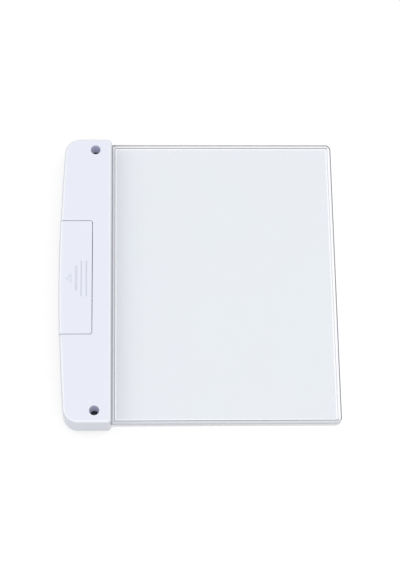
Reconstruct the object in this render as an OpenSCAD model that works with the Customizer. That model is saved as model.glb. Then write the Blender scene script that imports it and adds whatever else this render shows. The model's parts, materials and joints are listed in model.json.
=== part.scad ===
// Flat book light: a bowed casing with two cells, a press switch and a row of lamps
// that shine into the edge of a clear panel.
// +Y runs along the casing, +X from the casing to the panel, +Z out of the back face.
// The origin is under the middle of the whole light, on the plane of the front face.

/* [Casing] */
// Length of the casing along the page
case_len = 178; // [168:1:200]
// Thickness from the front face to the back face
case_thk = 18; // [17:0.5:21]
// Thickness of the shell walls
wall = 1.8; // [1.6:0.1:2.2]
// Radius of the bow of the outer side
bow_rad = 1200; // [900:50:2400]
// Radius of the two outer corners
corner_rad = 9; // [7:0.5:12]
// Radius of the two corners beside the panel
inner_rad = 2.4; // [2.2:0.1:4]
// Rounding of the front and back edges
edge_rad = 2; // [0.8:0.1:2.1]
// Thickness of the lip that locates the two shells
lip_thk = 0.8; // [0.6:0.05:1]
// Height of that lip above the parting plane
lip_high = 1; // [0.6:0.1:1.4]
// Clearance around the lip
lip_gap = 0.15; // [0.1:0.05:0.25]

/* [Light panel] */
// Width of the panel that shows beside the casing
panel_wid = 132.3; // [110:0.1:160]
// Distance from each end of the casing to the panel's edge
panel_inset = 0.9; // [0.8:0.1:2]
// Thickness of the panel over its rim
panel_thk = 5.1; // [4.6:0.1:6]
// Radius of the panel's outer corners
panel_rad = 2.6; // [1.5:0.1:5]
// Depth of the panel inside the casing
panel_tuck = 3.6; // [3:0.1:6]
// Width of the raised rim along the panel's free edges, on its back face
rim_wid = 2.6; // [1:0.1:4]
// Width of the rim that shows beside the casing
rim_in = 1.7; // [1:0.1:4]
// Height of the rim above the field
rim_high = 0.8; // [0.2:0.05:1]
// Radius of the field's corners
field_rad = 0.5; // [0.3:0.1:3]
// Gap between the panel's shoulder and the casing
shoulder_gap = 0.1; // [0.05:0.05:0.3]
// Wall of the panel's ears around the screw columns
ear_wall = 1.2; // [0.9:0.1:1.3]
// Clearance of the ears on the columns, and of the panel in its slot
ear_gap = 0.2; // [0.1:0.05:0.3]
// Thickness of the foam strips on both sides of the panel
seal_thk = 0.5; // [0.3:0.05:0.8]
// Clearance on each face of a foam strip
seal_gap = 0.05; // [0.02:0.01:0.1]

/* [Cells] */
// Diameter of a cell
cell_dia = 10.5; // [10:0.1:11]
// Length of a cell with its positive nub
cell_len = 44.5; // [43:0.1:46]
// Diameter of the nub
nub_dia = 3.8; // [3:0.1:4.5]
// Height of the nub
nub_high = 1; // [0.8:0.1:1.4]
// Gap between the two cells
cell_gap = 0.3; // [0.2:0.05:0.6]
// Gap between a cell and the bay's sides
bay_gap = 0.35; // [0.3:0.05:0.8]
// Thickness of the bay's end walls
bay_wall = 1.6; // [1.2:0.1:2]
// Thickness of the decks that close the bay's ends under the cover
deck_thk = 1.2; // [1:0.1:1.4]
// Distance of those decks below the cover's tabs
deck_drop = 1; // [0.6:0.1:1.4]
// Distance of the decks' outer edge from the bay's side
deck_in = 2; // [1.2:0.1:2.4]
// Thickness of the wall between the bay and the lamp board
part_wall = 1; // [0.8:0.1:1.4]
// Thickness of the ribs that carry the cells
cradle_thk = 1.4; // [1:0.1:2]
// Clearance of the cells in their ribs, and under the cover's ribs
cradle_gap = 0.2; // [0.1:0.05:0.4]
// Length of a compressed contact spring
spring_len = 4.4; // [4:0.1:5.5]
// Number of curls in a spring
spring_turns = 3.5; // [3:0.5:4]
// Diameter of the spring wire
spring_wire = 0.6; // [0.5:0.05:0.6]
// Diameter of the spring at its plate
spring_base = 7.4; // [6.5:0.1:8]
// Diameter of the spring at its cell
spring_tip = 4.6; // [4:0.1:5]
// Thickness of the contact plates
plate_thk = 0.4; // [0.3:0.05:0.6]
// Width of a contact plate
plate_wid = 8.4; // [8:0.1:9.2]
// Height of the contact plates
plate_high = 7.6; // [7:0.1:8.4]
// Width of a contact's solder lug
lug_wid = 3.2; // [2:0.1:4]
// Length of a lug behind the bay's wall
lug_len = 2.2; // [1.6:0.1:3]
// Distance of the lugs below the cells' axes
lug_drop = 1.2; // [0.6:0.1:2]
// Gap where two pieces only just touch
touch_gap = 0.05; // [0.02:0.01:0.1]

/* [Battery cover] */
// Length of the cover along the casing
cover_len = 71.4; // [66:0.2:84]
// Width of the cover from its outer side
cover_wid = 19.9; // [17:0.1:21]
// Gap around the cover
cover_gap = 0.35; // [0.2:0.05:0.4]
// Radius of the cover's inner corners
cover_rad = 1.5; // [1:0.1:3]
// How far the cover stands proud of the bowed side
cover_proud = 0.3; // [0.2:0.05:0.5]
// Width of the ledges under the cover's ends
ledge_wid = 1.2; // [0.8:0.1:2]
// Thickness of the ledges and of the cover's tabs
tab_thk = 1.3; // [1:0.1:1.5]
// Length of the tabs under the back shell
tab_len = 2.2; // [1.5:0.1:3]
// Width of a tab
tab_wid = 6; // [4:0.5:6.5]
// Depth of the ribs that hold the cells down
press_rib = 1.6; // [1:0.1:2]
// Depth of the sunk arrow and grip grooves
mark_deep = 0.5; // [0.3:0.05:0.6]
// Distance of the arrow and grooves from the cover's middle, away from the button
mark_shift = 1; // [0:0.1:4]
// Width of the two long grip grooves
grip_wid = 0.7; // [0.5:0.1:1]
// Width of the short grip groove
short_wid = 1.3; // [0.8:0.1:1.6]
// Length of the two long grip grooves
grip_long = 22; // [16:1:30]
// Length of the short grip groove
grip_short = 15; // [10:1:20]
// Distance from one grip groove to the next
grip_step = 3; // [2:0.1:3.3]
// Distance from the cover's inner edge to the first grip groove
grip_edge = 3.6; // [2.5:0.1:4]
// Distance from the short groove's middle to the arrow
arrow_gap = 2.7; // [1.5:0.1:3]
// Length of the arrow across the cover
arrow_long = 3.2; // [2.5:0.1:3.6]
// Width of the arrow along the cover
arrow_wid = 5.8; // [4:0.1:7]
// Width of the arrow's outline
arrow_bar = 0.5; // [0.4:0.05:0.6]

/* [Lamps] */
// Number of lamps along the panel's edge
led_count = 6; // [4:2:8]
// Length of a lamp along the board
led_wid = 3.5; // [2.8:0.1:4]
// Height of a lamp
led_tall = 2.8; // [2:0.1:3.4]
// Depth of a lamp
led_deep = 1.3; // [0.8:0.1:1.8]
// Diameter of a lamp's window
led_window = 2.2; // [1.4:0.1:2.4]
// Depth of the window
led_sunk = 0.2; // [0.1:0.05:0.4]
// Gap from the lamps to the panel's edge
led_gap = 0.15; // [0.1:0.05:0.3]
// Thickness of the lamp board
led_board_thk = 0.8; // [0.6:0.1:1.2]
// Height of the lamp board
led_board_tall = 7; // [6:0.1:8]
// Gap around the lamp board in its ribs
board_gap = 0.15; // [0.1:0.05:0.25]
// Thickness of the white reflector strip
reflector_thk = 0.25; // [0.15:0.05:0.4]
// Gap from the board's ends to the panel's ears
board_end = 1.2; // [0.8:0.1:3]
// Thickness of the ribs that carry the lamp board
rest_rib = 1.2; // [1:0.1:2]

/* [Switch] */
// Diameter of the button's face
button_dia = 10; // [8:0.5:12]
// Travel of the button
button_travel = 0.6; // [0.4:0.05:0.7]
// Depth of the button's face below the front face
button_sink = 0.35; // [0.25:0.05:0.5]
// Depth of the hollow in the button's face
button_hollow = 0.2; // [0.1:0.05:0.3]
// Radius of that hollow
hollow_rad = 40; // [30:1:60]
// Clearance around the button in its hole
button_gap = 0.2; // [0.15:0.05:0.3]
// Width of the button's inner flange beyond its face
flange_wid = 1.2; // [0.8:0.1:1.6]
// Thickness of the flange
flange_thk = 0.8; // [0.6:0.1:1]
// Diameter of the post behind the flange
post_dia = 4; // [3.4:0.1:5]
// Clearance around the flange in its collar
collar_gap = 0.3; // [0.2:0.05:0.5]
// Wall of the collar
collar_wall = 1.2; // [1:0.1:1.6]
// Height of the collar above the floor
collar_high = 2.4; // [1.6:0.1:2.5]
// Diameter of the finger dish around the button
dish_dia = 17; // [14:0.5:20]
// Depth of that dish
dish_deep = 0.6; // [0.3:0.05:0.8]
// Side of the square switch body
switch_side = 6; // [5.6:0.1:6.5]
// Height of the switch body
switch_high = 3.4; // [3:0.1:3.5]
// Diameter of the switch plunger
plunger_dia = 3.4; // [3:0.1:3.6]
// Length of plunger outside the switch
plunger_out = 0.9; // [0.8:0.05:1.1]
// Length of plunger inside the switch
plunger_in = 0.8; // [0.6:0.05:1]
// Radial clearance of the plunger
plunger_gap = 0.08; // [0.05:0.01:0.1]
// Distance of the switch legs from the switch's middle, along the board
leg_at = 2.1; // [1.8:0.1:2.3]
// Length of a switch leg
leg_len = 1.2; // [0.8:0.1:1.6]
// Width of a switch leg
leg_wid = 0.8; // [0.5:0.1:1]
// Thickness of a switch leg
leg_thk = 0.25; // [0.2:0.05:0.35]

/* [Driver] */
// Length of the driver board
board_len = 26; // [25:0.5:30]
// Width of the driver board
board_wid = 17; // [16:0.5:18.5]
// Thickness of the driver board
board_thk = 1.2; // [1:0.1:1.6]
// Height of the board above the floor
board_high = 6; // [5.8:0.1:6.8]
// Distance from the bay's wall to the board
board_from_bay = 10.4; // [8:0.1:14]
// Distance from a board screw to the board's end
board_screw_end = 2.7; // [2.4:0.1:3.4]
// Outer diameter of the board posts
standoff_dia = 4.6; // [4:0.1:5]
// Side of the choke
choke_side = 4.8; // [4:0.1:5.5]
// Width of the choke across its rounded corners
choke_round = 6; // [5.8:0.1:7]
// Height of the choke
choke_high = 2.2; // [1.6:0.1:3]
// Diameter of the leads
lead_dia = 1.2; // [0.9:0.1:1.3]

/* [Screws] */
// Distance from the casing's inner side to the casing screws
screw_in = 10.1; // [9.6:0.1:11]
// Distance from the casing's ends to the casing screws
screw_end = 7.4; // [7.2:0.1:9]
// Diameter of the screw recess in the back shell
recess_dia = 5.8; // [5.4:0.1:6]
// Wall of the screw column around the recess
column_wall = 1; // [0.8:0.1:1.1]
// Height of the front shell's screw posts
post_high = 4.3; // [4:0.1:4.6]
// Thickness of the seat under the screw head
seat_thk = 1.4; // [1.2:0.1:2]
// Gap between the column's foot and the post
column_gap = 0.1; // [0.05:0.05:0.2]
// Head diameter of the casing screws
head_dia = 5; // [4.4:0.1:5.2]
// Head height of the casing screws
head_high = 1.7; // [1.4:0.1:2]
// Shank diameter of the casing screws
shank_dia = 2.6; // [2.2:0.1:2.9]
// Depth of the screw in the front post
screw_grip = 4.5; // [3.5:0.1:4.6]
// Head diameter of the board screws
small_head_dia = 3.8; // [3.4:0.1:4]
// Head height of the board screws
small_head_high = 1.3; // [1:0.1:1.5]
// Shank diameter of the board screws
small_shank_dia = 2; // [1.8:0.1:2.2]
// Depth of the board screws in their posts
small_grip = 4.5; // [4:0.1:5]
// Clearance of a shank in its hole
thread_gap = 0.05; // [0.02:0.01:0.08]
// Width of the cross slots
cross_wid = 0.7; // [0.5:0.1:0.9]
// Length of the cross slots in the casing screws
cross_long = 3; // [2.4:0.1:3.6]
// Length of the cross slots in the board screws
small_cross_long = 2.3; // [1.8:0.1:2.6]
// Depth of the cross slots
cross_deep = 0.8; // [0.5:0.1:1]

/* [Hidden] */
$fn = 64;
edge_fn = 24;
over = 1;
trim = 0.05;
tube_sides = 8;
spring_sides = 6;
curl_rings = 8;
lead_rings = 16;
case_white = [0.92, 0.93, 0.98];
metal_grey = [0.75, 0.75, 0.77];
board_green = [0.16, 0.38, 0.25];

// The bay's stack along Y, from the middle of the casing
cell_rad = cell_dia / 2;
plate_y = (cell_len + spring_len) / 2 + touch_gap;
bay_y = plate_y + plate_thk + touch_gap;
bay_end = bay_y + bay_wall;
lug_end = bay_end + lug_len;

// How far the bowed side has drawn in at a distance y from the middle
function bow_at(y) = bow_rad - sqrt(bow_rad * bow_rad - y * y);

// Widths across the casing, from the outer wall to the panel's edge
side_wid = wall + bow_at(bay_end);
cells_wid = 2 * cell_dia + cell_gap + 2 * bay_gap;
lamp_wid = part_wall + board_gap + led_board_thk + led_deep + led_gap;
case_wid = side_wid + cells_wid + lamp_wid + panel_tuck;
whole_wid = cover_proud + case_wid + panel_wid;

// Places along X
x_right = whole_wid / 2;
x_in = x_right - panel_wid;
x_out = x_in - case_wid;
x_bay = x_out + side_wid;
x_cell_outer = x_bay + bay_gap + cell_rad;
x_cell_inner = x_cell_outer + cell_dia + cell_gap;
x_part = x_bay + cells_wid;
x_deck = x_bay + deck_in;
x_board_back = x_part + part_wall + board_gap;
x_board_face = x_board_back + led_board_thk;
x_edge = x_in - panel_tuck;
x_cover = x_out - cover_proud + cover_wid;
x_screw = x_in - screw_in;
x_driver = (x_bay + x_part) / 2;

// Places along Y
case_half = case_len / 2;
panel_half = case_half - panel_inset;
tongue_half = case_half - wall - ear_gap;
cover_half = cover_len / 2;
y_screw = case_half - screw_end;
y_driver = bay_end + board_from_bay + board_len / 2;

// Places along Z
z_part = case_thk / 2;
z_panel = z_part - panel_thk / 2;
z_panel_top = z_part + panel_thk / 2;
slot_side = seal_thk + 2 * seal_gap;
z_roof = case_thk - wall;
z_cell = z_roof - press_rib - cradle_gap - cell_rad;
z_lug = z_cell - lug_drop;
z_tab = z_roof - cover_gap - tab_thk;
z_deck = z_tab - deck_drop;
z_post = wall + post_high;
z_column = z_post + column_gap;
z_seat = z_column + seat_thk;
z_board = wall + board_high;
z_board_top = z_board + board_thk;
z_switch = z_board - switch_high;
z_plunger = z_switch - plunger_out;

// Sizes of the screw columns and the panel's ears
column_rad = recess_dia / 2 + column_wall;
ear_hole = column_rad + ear_gap;
ear_rad = ear_hole + ear_wall;
led_half = y_screw - ear_rad - board_end;
button_rad = button_dia / 2;
flange_rad = button_rad + flange_wid;
collar_in = flange_rad + collar_gap;

// Centre of the outer corners, which run into the bow without a kink
y_corner = case_half - corner_rad;
corner_reach = bow_rad - corner_rad;
x_corner = x_out + bow_rad - sqrt(corner_reach * corner_reach - y_corner * y_corner);
bow_turn = asin(y_corner / corner_reach);
bow_steps = 4;

// Space inside the arrow's outline, whose strokes are all equally wide
arrow_half = atan(arrow_wid / 2 / arrow_long);
arrow_side = arrow_bar / sin(arrow_half);
arrow_inner = 2 * (arrow_long - arrow_side - arrow_bar) * tan(arrow_half);

// Tube that follows a path, as a closed skin of triangles
function unit(v) = v / norm(v);
function heading(path, i) = unit(path[min(i + 1, len(path) - 1)] - path[max(i - 1, 0)]);
function ring(path, i, side, rad, sides) =
    let(t = heading(path, i), n = unit(side - (side * t) * t), b = cross(t, n))
    [for (k = [0:sides - 1]) path[i] + rad * (cos(360 * k / sides) * n + sin(360 * k / sides) * b)];

module tube(path, side, rad, sides) {
    last = (len(path) - 1) * sides;
    skin = [for (i = [0:len(path) - 1]) each ring(path, i, side, rad, sides)];
    walls = [
        for (i = [0:len(path) - 2], k = [0:sides - 1])
        let(a = i * sides + k, b = i * sides + (k + 1) % sides)
        each [[a, a + sides, b], [b, a + sides, b + sides]]
    ];
    ends = [for (k = [1:sides - 2]) each [[0, k, k + 1], [last, last + k + 1, last + k]]];
    polyhedron(skin, concat(walls, ends), 4);
}

// Conical helix along Y from a plate to a cell, and its least gap to itself
function curl_path(x, y_from, y_to) = [
    for (i = [0:curl_rings * spring_turns])
    let(
        s = i / (curl_rings * spring_turns),
        rad = (spring_base + s * (spring_tip - spring_base) - spring_wire) / 2,
        turn = 360 * spring_turns * s
    )
    [x + rad * cos(turn), y_from + s * (y_to - y_from), z_cell + rad * sin(turn)]
];
function least_gap(path) = min([
    for (i = [0:len(path) - 1], j = [i + curl_rings / 2:1:len(path) - 1])
    norm(path[i] - path[j]) - spring_wire
]);

// Smooth lead from one solder point to another
function lead_path(a, a_out, b, b_out) = [
    for (i = [0:lead_rings])
    let(t = i / lead_rings, u = 1 - t)
    u * u * u * a + 3 * u * u * t * (a + a_out) + 3 * u * t * t * (b + b_out) + t * t * t * b
];

// Both ends of the casing
module ends() {
    for (m = [0, 1]) mirror([0, m, 0]) children();
}

module box(x0, x1, y0, y1, z0, z1) {
    translate([x0, y0, z0]) cube([x1 - x0, y1 - y0, z1 - z0]);
}

module rounded_edge_disc(x, y, rad) {
    for (z = [edge_rad - trim, case_thk - edge_rad + trim])
        translate([x, y, z]) rotate_extrude() intersection() {
            translate([rad - edge_rad, 0]) circle(edge_rad, $fn = edge_fn);
            translate([0, -edge_rad]) square([rad, 2 * edge_rad]);
        }
}

// Whole casing as a rounded block, cut flat at the front and back faces
module casing_block() {
    intersection() {
        hull() {
            for (i = [-bow_steps:bow_steps]) {
                turn = bow_turn * i / bow_steps;
                rounded_edge_disc(
                    x_out + bow_rad - corner_reach * cos(turn), corner_reach * sin(turn), corner_rad
                );
            }
            ends() rounded_edge_disc(x_in - inner_rad, case_half - inner_rad, inner_rad);
        }
        box(x_out - over, x_in + over, -case_half - over, case_half + over, 0, case_thk);
    }
}

// Outline of the casing, drawn in by a distance
module casing_outline(inset) {
    rad = bow_rad - inset;
    corner = corner_rad - inset;
    y_meet = rad * sin(bow_turn);
    intersection() {
        translate([x_out + bow_rad, 0]) circle(rad, $fn = 720);
        translate([x_out, -y_meet]) square([case_wid - inset, 2 * y_meet]);
    }
    translate([x_corner, inset - case_half]) square([x_in - inset - x_corner, 2 * (case_half - inset)]);
    ends() translate([x_corner, y_corner]) circle(corner);
}

module casing_layer(inset, z0, z1) {
    translate([0, 0, z0]) linear_extrude(z1 - z0) casing_outline(inset);
}

// Outline of the battery cover's opening, open to the outer side
module cover_outline(inset) {
    half = cover_half - inset;
    edge = x_cover - inset;
    rad = cover_rad - inset;
    far = x_out - corner_rad;
    translate([far, -half]) square([edge - rad - far, 2 * half]);
    translate([far, rad - half]) square([edge - far, 2 * (half - rad)]);
    ends() translate([edge - rad, half - rad]) circle(rad);
}

// Slot through the casing's inner side for the panel and its foam strips
module panel_slot() {
    half = tongue_half + ear_gap / 2;
    box(x_edge, x_in + over, -half, half, z_panel - slot_side, z_panel_top + slot_side);
}

module front_shell() {
    color(case_white)
    difference() {
        union() {
            difference() {
                intersection() {
                    casing_block();
                    box(x_out - over, x_in + over, -case_half - over, case_half + over, -over, z_part);
                }
                casing_layer(wall, wall, z_part + over);
            }
            shell_lip();
            ends() translate([x_screw, y_screw, wall - trim]) cylinder(post_high + trim, r = column_rad);
            cell_bay();
            ends() bay_deck();
            lamp_rests();
            switch_collar();
            driver_posts();
        }
        panel_slot();
        ends() translate([x_screw, y_screw, z_post - screw_grip])
            cylinder(screw_grip + over, d = shank_dia + 2 * thread_gap);
        driver_post_places() translate([0, 0, z_board - small_grip])
            cylinder(small_grip + over, d = small_shank_dia + 2 * thread_gap);
        translate([x_driver, y_driver, -over]) cylinder(wall + 2 * over, r = button_rad + button_gap);
        finger_dish();
    }
}

// Lip that stands up inside the wall and centres the back shell
module shell_lip() {
    root = lip_high;
    difference() {
        casing_layer(wall - lip_thk, z_part - root, z_part + lip_high);
        casing_layer(wall, z_part - root - over, z_part + lip_high + over);
        box(x_edge, x_in + over, -case_half, case_half, 0, case_thk);
    }
}

// End walls, long wall and ribs that carry the two cells
module cell_bay() {
    low = wall - trim;
    wall_top = z_cell + cell_rad / 2;
    x_root = x_out + wall / 2 + bow_at(bay_end) / 2;
    difference() {
        union() {
            ends() {
                box(x_root, x_part + part_wall, bay_y, bay_end, low, z_part - lip_high);
                box(x_bay + touch_gap, x_part + part_wall, bay_y, bay_end, low, z_deck);
            }
            box(x_part, x_part + part_wall, -bay_end, bay_end, low, wall_top);
            for (y = [-1, 0, 1] * cell_len / 3)
                box(
                    x_root, x_part + part_wall, y - cradle_thk / 2, y + cradle_thk / 2,
                    low, z_cell - cell_rad / 3
                );
        }
        for (x = [x_cell_outer, x_cell_inner]) {
            translate([x, -plate_y, z_cell]) rotate([-90, 0, 0])
                cylinder(2 * plate_y, r = cell_rad + cradle_gap);
            box(
                x - lug_wid / 2 - cradle_gap, x + lug_wid / 2 + cradle_gap, bay_y - over, bay_end + over,
                z_lug - cradle_gap, z_lug + plate_thk + cradle_gap
            );
        }
    }
}

// Deck and skirt beside the bay, which hide the leads when the cover is off
module bay_deck() {
    far = cover_half + ledge_wid;
    near = bay_end - trim;
    box(x_deck, x_part + part_wall, near, far, z_deck - deck_thk, z_deck);
    box(x_deck, x_deck + part_wall, near, far, wall - trim, z_deck);
}

// Ribs that the lamp board stands on and leans against
module lamp_rests() {
    low = wall - trim;
    sill = z_part - led_board_tall / 2 - touch_gap;
    for (y = [-led_half + 2 * rest_rib, -bay_end - rest_rib, bay_end + rest_rib, led_half - 2 * rest_rib]) {
        box(x_part, x_board_face, y - rest_rib / 2, y + rest_rib / 2, low, sill);
        box(x_part, x_part + part_wall, y - rest_rib / 2, y + rest_rib / 2, low, z_part);
    }
}

module switch_collar() {
    translate([x_driver, y_driver, wall - trim])
        difference() {
            cylinder(collar_high + trim, r = collar_in + collar_wall);
            translate([0, 0, trim]) cylinder(collar_high + over, r = collar_in);
        }
}

module driver_post_places() {
    for (s = [-1, 1])
        translate([x_driver, y_driver + s * (board_len / 2 - board_screw_end), 0]) children();
}

module driver_posts() {
    driver_post_places() translate([0, 0, wall - trim])
        cylinder(board_high + trim - touch_gap, d = standoff_dia);
}

// Shallow round hollow that guides a finger to the button
module finger_dish() {
    rad = (dish_dia * dish_dia / 4 + dish_deep * dish_deep) / (2 * dish_deep);
    translate([x_driver, y_driver, dish_deep - rad]) sphere(rad, $fn = 360);
}

module back_shell() {
    color(case_white)
    difference() {
        union() {
            difference() {
                intersection() {
                    casing_block();
                    box(
                        x_out - over, x_in + over, -case_half - over, case_half + over,
                        z_part, case_thk + over
                    );
                }
                casing_layer(wall, z_part - over, z_roof);
                casing_layer(wall - lip_thk - lip_gap, z_part - over, z_part + lip_high + lip_gap);
                translate([0, 0, z_part - over]) linear_extrude(case_thk) cover_outline(0);
            }
            ends() {
                translate([x_screw, y_screw, z_column]) cylinder(z_roof + trim - z_column, r = column_rad);
                cover_ledge();
            }
        }
        panel_slot_above();
        ends() translate([x_screw, y_screw, 0]) {
            translate([0, 0, z_seat]) cylinder(case_thk, d = recess_dia);
            cylinder(case_thk, d = shank_dia + 2 * ear_gap);
        }
    }
}

// The slot, kept off the screw columns that pass through the panel's ears
module panel_slot_above() {
    difference() {
        panel_slot();
        ends() translate([x_screw, y_screw, 0]) cylinder(case_thk, r = column_rad);
    }
}

// Step at each end of the opening that the cover lies on
module cover_ledge() {
    bow = bow_at(cover_half + ledge_wid);
    web_x = x_out + bow + wall / 2;
    shelf_x = x_out + bow + wall + 2 * cover_gap;
    web_y = cover_half + ledge_wid;
    box(web_x, x_cover, cover_half, web_y, z_tab, z_roof + trim);
    box(shelf_x, x_cover - tab_len, cover_half - ledge_wid, web_y, z_tab, z_roof - cover_gap);
    box(web_x, x_deck - lip_gap, cover_half, web_y, z_part + lip_high + 2 * lip_gap, z_tab + trim);
}

module battery_cover() {
    bow = bow_at(cover_half);
    x_rib = x_out + wall + bow;
    tab_y = cover_half - ledge_wid - cover_gap;
    color(case_white) {
        difference() {
            intersection() {
                translate([-cover_proud, 0, 0]) casing_block();
                translate([0, 0, z_part + cover_gap]) linear_extrude(case_thk) cover_outline(cover_gap);
            }
            translate([-cover_proud, 0, 0]) {
                casing_layer(wall, 0, z_roof);
                casing_layer(wall - lip_thk - lip_gap, 0, z_part + lip_high + lip_gap);
            }
            translate([0, 0, case_thk - mark_deep]) linear_extrude(mark_deep + over) cover_marks();
        }
        ends() {
            box(x_cover - 2 * tab_len, x_cover + tab_len, tab_y - tab_wid, tab_y, z_tab, z_tab + tab_thk);
            box(
                x_cover - 2 * tab_len, x_cover - cover_gap, tab_y - tab_wid, tab_y,
                z_tab + tab_thk - trim, z_roof + trim
            );
            box(
                x_rib, x_cover - tab_len, cell_len / 4, cell_len / 4 + cradle_thk,
                z_roof - press_rib, z_roof + trim
            );
        }
    }
}

// Outlined arrow that shows the way the cover slides, and grooves for the thumb
module cover_marks() {
    for (i = [0, 1])
        translate([x_cover - grip_edge - i * grip_step, -mark_shift])
            square([grip_wid, grip_long], center = true);
    x_short = x_cover - grip_edge - 2 * grip_step;
    translate([x_short, -mark_shift]) square([short_wid, grip_short], center = true);
    translate([x_short - arrow_gap - arrow_long, -mark_shift])
        difference() {
            arrow_shape(arrow_long, arrow_wid);
            translate([arrow_side, 0]) arrow_shape(arrow_long - arrow_side - arrow_bar, arrow_inner);
        }
}

// Triangle with its point at the origin
module arrow_shape(long, wide) {
    polygon([[0, 0], [long, -wide / 2], [long, wide / 2]]);
}

// Domed screw with a cross slot, standing on its seat and pointing down
module cross_screw(head_d, head_h, slot, shank_d, shank_len) {
    difference() {
        union() {
            intersection() {
                cylinder(head_h, d = head_d);
                translate([0, 0, head_h - head_d]) sphere(head_d);
            }
            translate([0, 0, -shank_len]) cylinder(shank_len + trim, d = shank_d);
        }
        for (a = [0, 90]) rotate([0, 0, a])
            translate([0, 0, head_h]) cube([slot, cross_wid, 2 * cross_deep], center = true);
    }
}

module casing_screws() {
    color(metal_grey)
    ends() translate([x_screw, y_screw, z_seat])
        cross_screw(
            head_dia, head_high, cross_long, shank_dia, seat_thk + column_gap + screw_grip - touch_gap
        );
}

// Flat shape of the panel: the plate that shows, its tongue and two ears
module panel_outline() {
    x_left = x_in + shoulder_gap;
    difference() {
        translate([x_left, -panel_half]) square([panel_wid - shoulder_gap, 2 * panel_half]);
        ends() translate([x_right - panel_rad, panel_half - panel_rad])
            difference() {
                square(panel_rad + over);
                circle(panel_rad);
            }
    }
    translate([x_edge, -tongue_half]) square([panel_tuck + panel_rad, 2 * tongue_half]);
    ends() {
        translate([x_screw, y_screw - ear_rad]) square([x_edge - x_screw + over, 2 * ear_rad]);
        translate([x_screw, y_screw]) circle(ear_rad);
    }
}

// Lit field, inside the rim
module field_outline() {
    x0 = x_in + rim_in;
    x1 = x_right - rim_wid;
    half = panel_half - rim_wid;
    translate([x0 + field_rad, -half]) square([x1 - x0 - 2 * field_rad, 2 * half]);
    translate([x0, field_rad - half]) square([x1 - x0, 2 * (half - field_rad)]);
    ends() for (x = [x0 + field_rad, x1 - field_rad]) translate([x, half - field_rad]) circle(field_rad);
}

module light_panel() {
    color([0.85, 0.93, 0.97, 0.45])
    difference() {
        translate([0, 0, z_panel]) linear_extrude(panel_thk) panel_outline();
        translate([0, 0, z_panel_top - rim_high]) linear_extrude(rim_high + over) field_outline();
        ends() translate([x_screw, y_screw, z_panel - over]) cylinder(panel_thk + 2 * over, r = ear_hole);
    }
}

module light_seals() {
    half = tongue_half - ear_gap;
    x_back = x_in - wall;
    color([0.3, 0.3, 0.32])
    for (z = [z_panel - seal_gap - seal_thk, z_panel_top + seal_gap])
        box(x_back, x_in - touch_gap, -half, half, z, z + seal_thk);
}

// Every lamp's place along the board
module led_places() {
    step = 2 * led_half / led_count;
    for (i = [0:led_count - 1]) translate([x_board_face, (i + 0.5) * step - led_half, z_part]) children();
}

module led_board() {
    color(board_green)
    box(
        x_board_back, x_board_face, -led_half, led_half,
        z_part - led_board_tall / 2, z_part + led_board_tall / 2
    );
}

// Moulded lamp body with a round window in its face
module leds() {
    color([0.97, 0.95, 0.8])
    led_places() difference() {
        translate([0, -led_wid / 2, -led_tall / 2]) cube([led_deep, led_wid, led_tall]);
        translate([led_deep - led_sunk, 0, 0]) rotate([0, 90, 0]) cylinder(over, d = led_window);
    }
}

module reflector_strip() {
    tall = led_board_tall - 2 * board_gap;
    color("white")
    difference() {
        box(
            x_board_face, x_board_face + reflector_thk, -led_half, led_half,
            z_part - tall / 2, z_part + tall / 2
        );
        led_places() cube([2 * over, led_wid + 2 * board_gap, led_tall + 2 * board_gap], center = true);
    }
}

// Cell with its nub towards +Y
module cell() {
    body = cell_len - nub_high;
    rotate([-90, 0, 0]) {
        cylinder(body, d = cell_dia);
        translate([0, 0, body - trim]) cylinder(nub_high + trim, d = nub_dia);
    }
}

module cell_outer() {
    color([0.35, 0.55, 0.45])
    translate([x_cell_outer, plate_y - touch_gap - cell_len, z_cell]) cell();
}

module cell_inner() {
    color([0.35, 0.55, 0.45])
    mirror([0, 1, 0]) translate([x_cell_inner, plate_y - touch_gap - cell_len, z_cell]) cell();
}

// Upright contact plate at the bay's end
module contact_plate(x0, x1) {
    box(x0, x1, plate_y, plate_y + plate_thk, z_cell - plate_high / 2, z_cell + plate_high / 2);
}

module lug_plate(x) {
    contact_plate(x - plate_wid / 2, x + plate_wid / 2);
    box(x - lug_wid / 2, x + lug_wid / 2, plate_y, lug_end, z_lug, z_lug + plate_thk);
}

module positive_contact() {
    color(metal_grey) lug_plate(x_cell_outer);
}

module negative_contact() {
    color(metal_grey) lug_plate(x_cell_inner);
}

module bridge_contact() {
    color(metal_grey)
    mirror([0, 1, 0]) contact_plate(x_cell_outer - plate_wid / 2, x_cell_inner + plate_wid / 2);
}

spring_from = plate_y - spring_wire / 2 - touch_gap;
spring_to = plate_y - spring_len + spring_wire / 2;
echo(str("least gap inside a spring, mm: ", least_gap(curl_path(0, spring_from, spring_to))));

module contact_spring(x) {
    tube(curl_path(x, spring_from, spring_to), [0, 1, 0], spring_wire / 2, spring_sides);
}

module spring_negative() {
    color(metal_grey) contact_spring(x_cell_inner);
}

module spring_bridge() {
    color(metal_grey) mirror([0, 1, 0]) contact_spring(x_cell_outer);
}

module driver_board() {
    color(board_green)
    difference() {
        box(
            x_driver - board_wid / 2, x_driver + board_wid / 2,
            y_driver - board_len / 2, y_driver + board_len / 2, z_board, z_board_top
        );
        driver_post_places() cylinder(case_thk, d = small_shank_dia + 2 * ear_gap);
    }
}

module board_screws() {
    color(metal_grey)
    driver_post_places() translate([0, 0, z_board_top + touch_gap])
        cross_screw(
            small_head_dia, small_head_high, small_cross_long, small_shank_dia,
            board_thk + small_grip - touch_gap
        );
}

// Block that stands on the driver board
module on_board(x, y, sx, sy, sz) {
    translate([x_driver + x - sx / 2, y_driver + y - sy / 2, z_board_top]) cube([sx, sy, sz]);
}

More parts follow.
